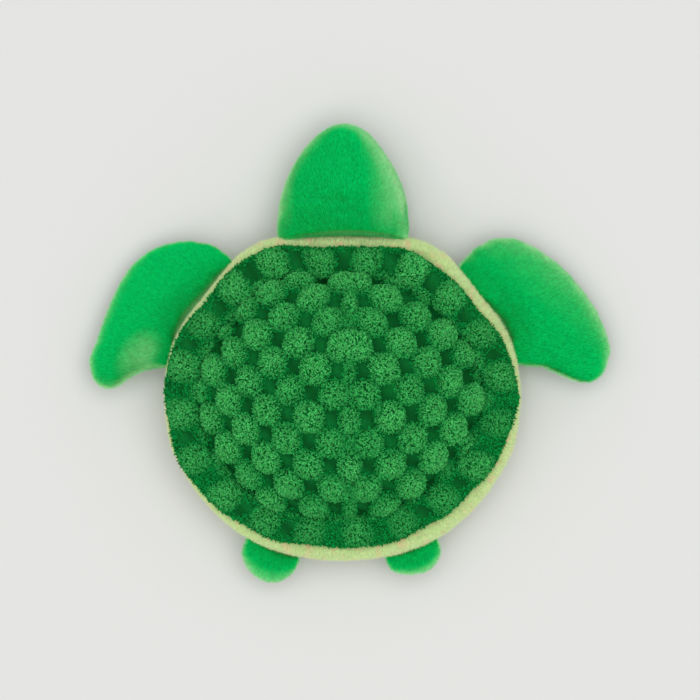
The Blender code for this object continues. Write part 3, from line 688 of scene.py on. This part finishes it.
def fill_root(skin, surface, body):
    """Fills a limb's round root out to nearly its full height and draws it up to the body all along the
    seam, as stuffing and stitches do."""
    place, across, out = joint_of(body)
    spots = points_of(skin.data)
    beside, beyond = (spots - place) @ across, (spots - place) @ out
    low = beyond.min()
    inward = beyond / low
    share = np.clip(inward, 0.0, 1.0)
    ends = beside[share > 0].min(), beside[share > 0].max()
    fuller, roof = root_roof(spots, beside, inward, ends, place)
    roof *= 1 - ROOT_DROP_SHARE * share**2
    rise = spots[:, 2] - place[2]
    filled = np.minimum(rise * np.clip(fuller, 1.0, ROOT_MOST), np.maximum(rise, roof))
    rise = np.where(rise > 0, filled, rise)

    # The root's end becomes a wall, which is drawn sideways to the nearest place on the body
    lines = np.linspace(*ends, ROOT_LINES)
    tips = place + np.outer(lines, across) + out * low
    seam, _, away = nearest_on(surface, tips)
    drawn = seam - tips - away * ROOT_SUNK
    spots += np.outer(np.minimum(share / ROOT_WALL_SHARE, 1.0) * low - np.minimum(beyond, 0.0), out)
    for axis in (0, 1):
        spots[:, axis] += share * np.interp(beside, lines, drawn[:, axis])
    spots += np.outer(share * ROOT_SET_BACK * smoothstep(0.0, ROOT_SET_BACK_RISE, rise), out)
    spots[:, 2] = place[2] + rise
    move_points(skin.data, spots)

    # Only the root is evened out
    root = skin.vertex_groups.new(name="root")
    for i in np.flatnonzero(share > 0):
        root.add([int(i)], float(smoothstep(0.0, 0.5, share[i])), "REPLACE")
    modified(skin, "SMOOTH", vertex_group=root.name, iterations=6)
    skin.vertex_groups.clear()


def brush_limb(skin, surface, body, fan=0.55):
    """Lays the nap out from the seam, keeps fibres off the end that lies in the body, and marks where a
    painted
    sheen goes: round the side seam, where the skin turns away from the light overhead, most on the sheen
    side, and on the sheen spots."""
    place, across, out = joint_of(body)
    spots, normals = points_of(skin.data), normals_of(skin.data)
    # Painted sheen: paler colour painted where the skin turns away from a light overhead that leans away
    # from the sheen side
    to_right, to_head = PAINTED_SHEEN_SIDES[body]
    lit = np.array((-to_right, -to_head, 1.0))
    pale = 0.9 * smoothstep(0.88, 0.25, normals @ lit / np.linalg.norm(lit))
    beside, beyond = (spots - place) @ across, (spots - place) @ out
    for x, y, half_width, half_length, amount in PAINTED_SHEEN_SPOTS.get(body, ()):
        far = np.hypot((beside - x) / half_width, (beyond - y) / half_length)
        pale += amount * smoothstep(1.0, 0.1, far) * smoothstep(-0.1, 0.25, normals[:, 2])
    places, far, away = nearest_on(surface, spots)
    far *= np.sign(((spots - places) * away).sum(axis=1))
    sideways = np.abs(normals @ across)
    low = beyond.min()
    pale *= np.maximum(smoothstep(low, low + PAINTED_SHEEN_START, beyond), sideways)
    pale *= smoothstep(-0.95, -0.4, normals[:, 2])
    store(skin.data, "pale", np.clip(pale, 0.0, 1.0))
    nap = out + np.outer(beside / np.abs(beside).max(), across) * fan
    nap[:, 2] += smoothstep(0.2, 0.8, -(normals @ out))
    store(skin.data, "nap", tangent(nap, normals))
    store(skin.data, "pile", smoothstep(*PILE_START, far))
    store(skin.data, "length", 0.5 + 0.5 * smoothstep(0.0, FULL_PILE, far))


def sew_on(piece, body):
    """Bakes the limb's piece into place, with its transform in its mesh."""
    place, across, out = joint_of(body)
    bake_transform(piece)


def limb(body, parts, materials, surface, density=LIMB_FIBRES, bare=()):
    """A limb's skin and pile. bare are eyes that the pile is cut away from."""
    nodes = [f"{body}_{part}" for part in (*parts, "stuffing")]
    skin = limb_skin(body, nodes)
    place, across, out = joint_of(body)
    low = ((points_of(skin.data) - place) @ out).min()
    fill_root(skin, surface, body)
    brush_limb(skin, surface, body)
    skin.data.materials.clear()
    skin.data.materials.append(materials["green"])
    for eye in bare:
        trim_round(skin, eye)
    changes = {"Fibres per Square Metre": density}
    pile = grow_pile(skin, f"{body}_pile", materials["green"], SHORT_PILE, PILE_SEEDS[body], **changes)
    for piece in (skin, pile):
        sew_on(piece, body)
    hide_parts(*nodes)
    return skin


def eye_frame(node):
    """An eye's middle, its half length and half height, and the ways along it, up it and out of it."""
    spots = points_of(frame["nodes"][node].data)
    middle = spots.mean(axis=0)
    ways = np.linalg.svd(spots - middle, full_matrices=False)[2]
    if ways[2] @ (middle - np.array(joint_of("head")[0])) < 0:
        ways[2] = -ways[2]
    halves = np.abs((spots - middle) @ ways[:2].T).max(axis=0)
    return middle, halves, ways


def trim_round(skin, eye):
    """Cuts the pile away under an eye."""
    middle, halves, ways = eye_frame(eye)
    from_eye = points_of(skin.data) - middle
    oval = np.hypot(*(from_eye @ ways[:2].T / halves).T)
    oval += np.where(np.abs(from_eye @ ways[2]) < EYE_TRIM_DEPTH, 0.0, BEYOND_ALL)
    pile = np.empty(len(skin.data.vertices), np.float32)
    skin.data.attributes["pile"].data.foreach_get("value", pile)
    store(skin.data, "pile", pile * smoothstep(0.95, 1.15, oval))


def stitch_tree():
    """Makes a round thread of every line of points."""
    tree = bpy.data.node_groups.new("stitches", "GeometryNodeTree")
    sockets = tree_inputs(tree, {"Thread": "Float", "Sides": "Int", "Material": "Material"})
    given = add(tree, "NodeGroupInput").outputs
    line = add(tree, "GeometryNodeMeshToCurve", {"Mesh": given["Geometry"]})
    radius = maths(tree, "DIVIDE", given["Thread"], 2.0)
    ring = add(tree, "GeometryNodeCurvePrimitiveCircle", {"Resolution": given["Sides"], "Radius": radius})
    yarn = add(tree, "GeometryNodeCurveToMesh", {"Curve": line, "Profile Curve": ring, "Fill Caps": True})
    real = add(tree, "GeometryNodeRealizeInstances", {"Geometry": yarn})
    dressed = add(tree, "GeometryNodeSetMaterial", {"Geometry": real, "Material": given["Material"]})
    add(tree, "NodeGroupOutput", {0: dressed})
    return tree, sockets


def satin_eye(node, head, material, points=7):
    """An embroidered eye: close stitches across an oval, domed over the head's cloth."""
    middle, halves, ways = eye_frame(node)
    surface = surface_of(head.data)
    places, edges = [], []
    count = int(2 * halves[0] / STITCH_SPACING)
    for x in np.linspace(-0.98, 0.98, count):
        for y in np.linspace(-1.0, 1.0, points):
            high = y * math.sqrt(1 - x * x)
            spot = middle + ways[0] * halves[0] * x + ways[1] * halves[1] * high
            hit = surface.ray_cast(Vector(spot + ways[2] * EYE_REACH), Vector(-ways[2]), 2 * EYE_REACH)[0]
            ground = spot if hit is None else np.array(hit)
            places.append(ground + ways[2] * STITCH_LIFT * (0.3 + math.sqrt(1 - y * y) * (1.2 - x * x)))
            if y > -1.0:
                edges.append((len(places) - 2, len(places) - 1))
    lines = bpy.data.meshes.new(f"{node}_lines")
    lines.from_pydata([tuple(place) for place in places], edges, [])
    source = add_object(f"{node}_lines", lines)
    tree, sockets = stitch_tree()
    mesh = run_tree(source, tree, sockets, {"Thread": STITCH_THREAD, "Sides": 6, "Material": material})
    bpy.data.objects.remove(source, do_unlink=True)
    eye = add_object(f"satin_{node}", mesh)
    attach(eye, "head")
    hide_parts(node)


def shell_edge():
    """How far the shell's edge lies from the shell's middle at each bearing, and how far round the edge
    that is, from 0 to 1, for even steps of bearing."""
    spots = points_of(frame["nodes"]["shell_cover"].data)
    near = 0.4 * MM
    ring = spots[np.abs(spots[:, 2] - SEAM_HEIGHT - RIM_RISE) < near]
    flat = ring[:, :2] - SHELL_MIDDLE
    bearing = np.arctan2(flat[:, 1], flat[:, 0])
    waves = range(1, 9)

    def terms(angles):
        parts = [np.ones_like(angles)]
        for k in waves:
            parts += [np.cos(k * angles), np.sin(k * angles)]
        return np.stack(parts, axis=1)

    fit = np.linalg.lstsq(terms(bearing), np.linalg.norm(flat, axis=1), rcond=None)[0]
    steps = np.linspace(-math.pi, math.pi, 1441)
    lapped_at, lapped = np.array(OVERHANG_SHARES).T
    reach = terms(steps) @ fit
    reach += SHELL_OVERHANG * np.interp(np.degrees(steps), lapped_at, lapped, period=360)
    reach += SHELL_WAVER * (np.sin(9 * steps + 1.0) + np.sin(16 * steps + 2.0)) / 2
    path = reach[:, None] * np.stack([np.cos(steps), np.sin(steps)], axis=1)
    travelled = np.concatenate([[0.0], np.cumsum(np.linalg.norm(np.diff(path, axis=0), axis=1))])
    return steps, reach, travelled / travelled[-1]


EDGE_BEARINGS, EDGE_REACH, EDGE_TRAVEL = shell_edge()
FIRST_PIT_TRAVEL = np.interp(BRIM_PIT_BEARING, EDGE_BEARINGS, EDGE_TRAVEL)


def shell_place(places):
    """The bearing of each place about the shell's middle, its share of the way to the shell's edge and how
    far the edge lies from the middle there."""
    flat = places[:, :2] - SHELL_MIDDLE
    bearing = np.arctan2(flat[:, 1], flat[:, 0])
    reach = np.interp(bearing, EDGE_BEARINGS, EDGE_REACH)
    return bearing, np.linalg.norm(flat, axis=1) / reach, reach


def shell_height(share):
    """How high the shell stands, without its puffs, at a share of the way to its edge."""
    inside = np.clip(share / GROOVE_SHARE, 0.0, 1.0)
    sunk = math.sqrt(DOME_CAP_SHARE**2 - 1)
    dome = DOME_RISE * (np.sqrt(DOME_CAP_SHARE**2 - inside**2) - sunk) / (DOME_CAP_SHARE - sunk)
    brim = np.minimum(BRIM_RISE * (1 - share) / (1 - GROOVE_SHARE), BRIM_RISE)
    off_groove = (share - GROOVE_SHARE) * np.mean(EDGE_REACH) / (GROOVE_WIDTH / 2)
    return SEAM_HEIGHT + RIM_RISE + brim + dome - GROOVE_DEPTH * np.exp(-(off_groove**2))


def dome_cells(places):
    """Counts of cells across and along, out from the line where the cloth's two halves meet."""
    flat = places[:, :2] - np.array(BELLY_MIDDLE.xy)
    beside = np.abs(flat[:, 0] - MIDDLE_LINE)
    sunk = CELL_ORIGIN_ALONG + beside**2 / (2 * ROW_SAG) - flat[:, 1]
    row = DRAPE_RADIUS * np.arcsin(np.clip(sunk / DRAPE_RADIUS, -1.0, 1.0)) / CELL_LENGTH
    bow = ((row - COLUMN_BOW_ROW) * CELL_LENGTH) ** 2 / (2 * COLUMN_BOW)
    span = DRAPE_RADIUS * np.arcsin(np.clip(beside / DRAPE_RADIUS, 0.0, 1.0))
    return (span - COLUMN_OFFSET + bow) / CELL_WIDTH, row


def brim_cells(bearing, share, reach):
    """Counts of cells round the brim and in from its edge, moved so that pits and puffs fall as on the
    dome."""
    round_it = (np.interp(bearing, EDGE_BEARINGS, EDGE_TRAVEL) - FIRST_PIT_TRAVEL) * 2 * BRIM_PITS
    return round_it + 1, (reach * (1 - share) - BRIM_PIT_DEPTH) / BRIM_CELL_LENGTH


def puff_at(across, along):
    """How far each place lies from its nearest puff's middle, where 1 is the puff's edge, and a number from
    0 to 1 that each puff has for itself. Puffs stand on the cells whose two counts add up to an even
    number."""
    column, row = np.round(across), np.round(along)
    best = np.full(across.shape, BEYOND_ALL)
    own = np.zeros(across.shape)
    for step_across, step_along in ((0, 0), (1, 0), (-1, 0), (0, 1), (0, -1)):
        c, r = column + step_across, row + step_along
        chance = np.sin(c * 12.9898 + r * 78.233) * 43758.5453  # any large numbers that scatter well
        chance -= np.floor(chance)
        dx, dy = np.abs(across - c) / PUFF_REACH_SHARES[0], np.abs(along - r) / PUFF_REACH_SHARES[1]
        far = (dx**PUFF_SQUARENESS + dy**PUFF_SQUARENESS) ** (1 / PUFF_SQUARENESS)
        far += np.where((c + r) % 2 == 0, 0.0, BEYOND_ALL)
        own = np.where(far < best, chance, own)
        best = np.minimum(best, far)
    return best, own


def shell_surface(places):
    """How high the cloth's ground lies at each place, how much a puff raises it, which way is out and how
    far in from the edge it lies."""
    bearing, share, reach = shell_place(places)
    on_brim = share > GROOVE_SHARE
    dome, brim = dome_cells(places), brim_cells(bearing, share, reach)
    across, along = (np.where(on_brim, brim[i], dome[i]) for i in (0, 1))
    off, own = puff_at(across, along)
    lowest, highest = PUFF_HEIGHT_SHARES
    rise = np.sqrt(np.clip(1 - off**2, 0.0, 1.0)) * (lowest + (highest - lowest) * own)
    front = 1 - smoothstep(*FRONT_BRIM, np.abs(bearing - math.pi / 2))
    rise *= np.where(on_brim, LOW_BRIM_SHARE + (1 - LOW_BRIM_SHARE) * front, 1.0)
    rise = np.maximum(rise, np.where(on_brim, BRIM_FUZZ_SHARE * (1 - front), 0.0))
    from_edge = reach * (1 - share)
    for pit in OPEN_PITS:
        middle = np.interp((FIRST_PIT_TRAVEL + pit / BRIM_PITS) % 1, EDGE_TRAVEL, EDGE_BEARINGS)
        aside = np.angle(np.exp(1j * (bearing - middle))) * reach
        rise *= 1 - np.exp(-(np.hypot(aside, from_edge - BRIM_PIT_DEPTH) / OPEN_PIT_REACH) ** 4)
    from_groove = np.abs(share - GROOVE_SHARE) * reach
    rise *= GROOVE_PUFF_SHARE + (1 - GROOVE_PUFF_SHARE) * smoothstep(0.0, GROOVE_PUFF_REACH, from_groove)
    from_line = np.abs(places[:, 0] - BELLY_MIDDLE.x - MIDDLE_LINE)
    rise = np.maximum(rise, np.where(on_brim, 0.0, RIDGE_SHARE * (1 - smoothstep(*RIDGE_WIDTH, from_line))))
    rise *= smoothstep(*EDGE_RISE, from_edge)
    span = TILT_SPAN / reach
    drop = shell_height(np.maximum(share - span, 0)) - shell_height(np.minimum(share + span, 1))
    tilt = np.arctan2(drop, 2 * TILT_SPAN)
    out = np.stack([np.cos(bearing) * np.sin(tilt), np.sin(bearing) * np.sin(tilt), np.cos(tilt)], axis=1)
    return shell_height(share), rise, out, from_edge


def shell_cloth(material, rings=96, bearings=400, under_rings=14):
    """The popcorn cloth over the body's top, with its puffs and pits, closed underneath, and where its pile
    stands."""
    angles = np.linspace(-math.pi, math.pi, bearings, endpoint=False)
    ways = np.stack([np.cos(angles), np.sin(angles)], axis=1)
    ways *= np.interp(angles, EDGE_BEARINGS, EDGE_REACH)[:, None]
    faces = []

    def rings_at(shares):
        return [np.column_stack([SHELL_MIDDLE + ways * share, np.zeros(bearings)]) for share in shares]

    def join(first, second):
        for i in range(bearings):
            j = (i + 1) % bearings
            faces.append((first + i, first + j, second + j, second + i))

    hair = 0.001 * MM  # off the very middle, where there is no bearing
    pole = np.array([[*SHELL_MIDDLE, 0.0]]) + (hair, 0.0, 0.0)
    top = np.vstack([pole, *rings_at(np.linspace(0.0, 1.0, rings + 1)[1:])])
    height, rise, out, from_edge = shell_surface(top)
    top[:, 2] = height
    top += out * (rise * PUFF_HEIGHT)[:, None]
    under = np.vstack([*rings_at(np.linspace(1.0, 0.12, under_rings)), pole])
    height, _, out, _ = shell_surface(under)
    under[:, 2] = height
    under -= out * SHELL_SHEET
    for i in range(bearings):
        faces.append((0, 1 + i, 1 + (i + 1) % bearings))
    for ring in range(rings - 1):
        join(1 + (ring + 1) * bearings, 1 + ring * bearings)
    base = len(top)
    join(base, base - bearings)
    for ring in range(under_rings - 1):
        join(base + (ring + 1) * bearings, base + ring * bearings)
    last = base + (under_rings - 1) * bearings
    for i in range(bearings):
        faces.append((last + (i + 1) % bearings, last + i, last + bearings))
    mesh = bpy.data.meshes.new("shell_cloth")
    mesh.from_pydata(np.vstack([top, under]).tolist(), [], faces)
    work = bmesh.new()
    work.from_mesh(mesh)
    bmesh.ops.recalc_face_normals(work, faces=work.faces)
    work.to_mesh(mesh)
    work.free()
    mesh.shade_smooth()
    mesh.materials.append(material)
    bare = np.zeros(len(under))
    outward = np.vstack([top, under])[:, :2] - SHELL_MIDDLE
    outward /= np.maximum(np.linalg.norm(outward, axis=1, keepdims=True), 1e-9)
    edge = np.concatenate([smoothstep(EDGE_NAP, 0.0, from_edge), bare])
    store(mesh, "nap", np.column_stack([outward * edge[:, None], -0.4 * edge]))
    store(mesh, "puff", np.concatenate([rise, bare]))
    store(mesh, "length", np.concatenate([0.5 + 0.5 * smoothstep(0.1, 0.6, rise), bare]))
    cover = np.maximum(smoothstep(0.05, 0.18, rise), 1 - smoothstep(*EDGE_CURLS, from_edge))
    return add_object("shell_cloth", mesh), np.concatenate([cover, bare])


def body_skin(material, voxel=2.2 * MM, crease=0.6 * MM):
    """The pale skin of the rim and the belly. Under the shell it lies just below the popcorn cloth."""
    nodes = ("rim_band", "belly_panel", "body_stuffing")
    skin = cloth_form("body_skin", nodes, voxel, PILE_RISE + SKIN_SWELL)

    def bare(spots):
        share = shell_place(spots)[1]
        return np.where(spots[:, 2] > SEAM_HEIGHT, smoothstep(0.93, 1.0, share), 1.0)

    spots = points_of(skin.data)
    at_seam = smoothstep(BODY_SEAM_WIDTH, 0.0, np.abs(spots[:, 2] - SEAM_HEIGHT))
    plump(skin, np.maximum(1 - bare(spots), 0.4 * at_seam))
    modified(skin, "SUBSURF", levels=1)
    spots = points_of(skin.data)
    side = smoothstep(BODY_CREASE_WIDTH, 0.0, np.abs(spots[:, 2] - SEAM_HEIGHT))
    spots -= normals_of(skin.data) * (crease * side)[:, None]
    spots[:, 2] = np.maximum(spots[:, 2], LEAST_HEIGHT)
    move_points(skin.data, spots)
    skin.data.materials.clear()
    skin.data.materials.append(material)
    return skin


def pale_body(skin, material):
    """The pile of the rim and the belly, on the body's skin."""
    spots, normals = points_of(skin.data), normals_of(skin.data)
    away = spots - np.array((*BELLY_MIDDLE.xy, 0.0))
    away[:, 2] = -NAP_DROP
    store(skin.data, "nap", tangent(away, normals))
    pressed = 1 - smoothstep(*RESTING_PILE, spots[:, 2])
    store(skin.data, "length", 1.0 - PRESSED_SHARE * pressed)
    share = shell_place(spots)[1]
    shown = np.where(spots[:, 2] > SEAM_HEIGHT, smoothstep(0.955, 0.975, share), 1.0)
    upper = smoothstep(*RIM_FROM, spots[:, 2])
    store(skin.data, "pale", np.full(len(spots), 0.5))
    for name, part, density in (("rim_pile", upper, RIM_FIBRES), ("belly_pile", 1 - upper, BELLY_FIBRES)):
        store(skin.data, "pile", part * shown)
        changes = {
            "Fibres per Square Metre": density, "Clump Lean": 0.9, "Clump Size": 2.0 * MM, "Ruffle": 0.35,
        }
        pile = grow_pile(skin, name, material, SHORT_PILE, PILE_SEEDS[name], **changes)
        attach(pile, "body")
    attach(skin, "body")
    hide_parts("rim_band", "belly_panel", "body_stuffing")


def popcorn_shell(materials):
    """The shell's cloth, with its pile in four pieces."""
    cloth, cover = shell_cloth(materials["ground"])
    spots = points_of(cloth.data) - (*SHELL_MIDDLE, 0.0)
    for number, (x, y) in enumerate(((1, 1), (-1, 1), (-1, -1), (1, -1))):
        store(cloth.data, "pile", cover * ((spots[:, 0] * x >= 0) & (spots[:, 1] * y >= 0)))
        seed = PILE_SEEDS["shell_pile"] + number
        pile = grow_pile(cloth, f"shell_pile_{number + 1}", materials["popcorn"], CURLY_PILE, seed)
        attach(pile, "body")
    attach(cloth, "body")
    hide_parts("shell_cover")


def studio():
    """A plain floor, soft light from above, and a camera that looks straight down on the toy's back."""
    scene = bpy.context.scene
    scene.view_settings.view_transform = "Standard"
    floor = bpy.data.meshes.new("floor")
    corners = [(FLOOR_HALF * x, FLOOR_HALF * y, 0) for x, y in ((-1, -1), (1, -1), (1, 1), (-1, 1))]
    floor.from_pydata(corners, [], [(0, 1, 2, 3)])
    # Matt pale grey paper: no gleam, so only the toy's soft shadow shows on it
    material, _, shader = new_material("floor", 0.9, 0.5)
    shader.inputs["Base Color"].default_value = linear("#E6E6E4")
    floor.materials.append(material)
    add_object("floor", floor)
    world = bpy.data.worlds.new("studio")
    world.use_nodes = True
    sky = world.node_tree.nodes["Background"]
    sky.inputs[0].default_value = (1.0, 1.0, 1.0, 1.0)
    sky.inputs[1].default_value = 0.5
    scene.world = world
    for name, (place, size, energy) in LIGHTS.items():
        lamp = bpy.data.lights.new(name, "AREA")
        lamp.size = size
        lamp.energy = energy
        thing = add_object(name, lamp)
        thing.location = place
        thing.rotation_euler = (Vector((0, 0, 0.02)) - Vector(place)).to_track_quat("-Z", "Y").to_euler()
    lens = bpy.data.cameras.new("camera")
    lens.lens = LENS
    lens.sensor_width = 36
    camera = add_object("camera", lens)
    camera.location = CAMERA_PLACE
    scene.camera = camera


def main():
    """Dresses the frame, piece by piece, and sets up the studio."""
    materials = {
        # The green plush's second colour is its painted sheen; the pale plush's is that of its random warm
        # specks
        "green": plush(
            "green_brushed_plush", root="#00B84C", body="#06DC72", tip="#0AEA7C", speck_and_painted_sheen_colour="#B4F8B4",
            sheen_colour="#D8F7B4",
        ),
        "pale": plush(
            "pale_green_brushed_plush", root="#D2E8A6", body="#E2F8B6", tip="#ECFFC0", speck_and_painted_sheen_colour="#FFDDB4",
            sheen_colour="#F4FAE0", patch=5 * MM, even=(0.92, 1.05), patched=(-1.7, 1.3),
        ),
        "popcorn": popcorn("curly_popcorn_pile"),
        "ground": knitted_ground("knitted_popcorn_ground"),
        "thread": thread("black_satin_stitch"),
    }
    skin = body_skin(materials["pale"])
    surface = surface_of(skin.data)
    eyes = ("left_eye", "right_eye")
    head = limb("head", ("top_panel", "under_panel"), materials, surface, HEAD_FIBRES, eyes)
    for node in eyes:
        satin_eye(node, head, materials["thread"])
    for body in ("left_front_flipper", "right_front_flipper", "left_rear_foot", "right_rear_foot"):
        limb(body, ("upper_panel", "under_panel"), materials, surface)
    pale_body(skin, materials["pale"])
    popcorn_shell(materials)
    studio()


main()
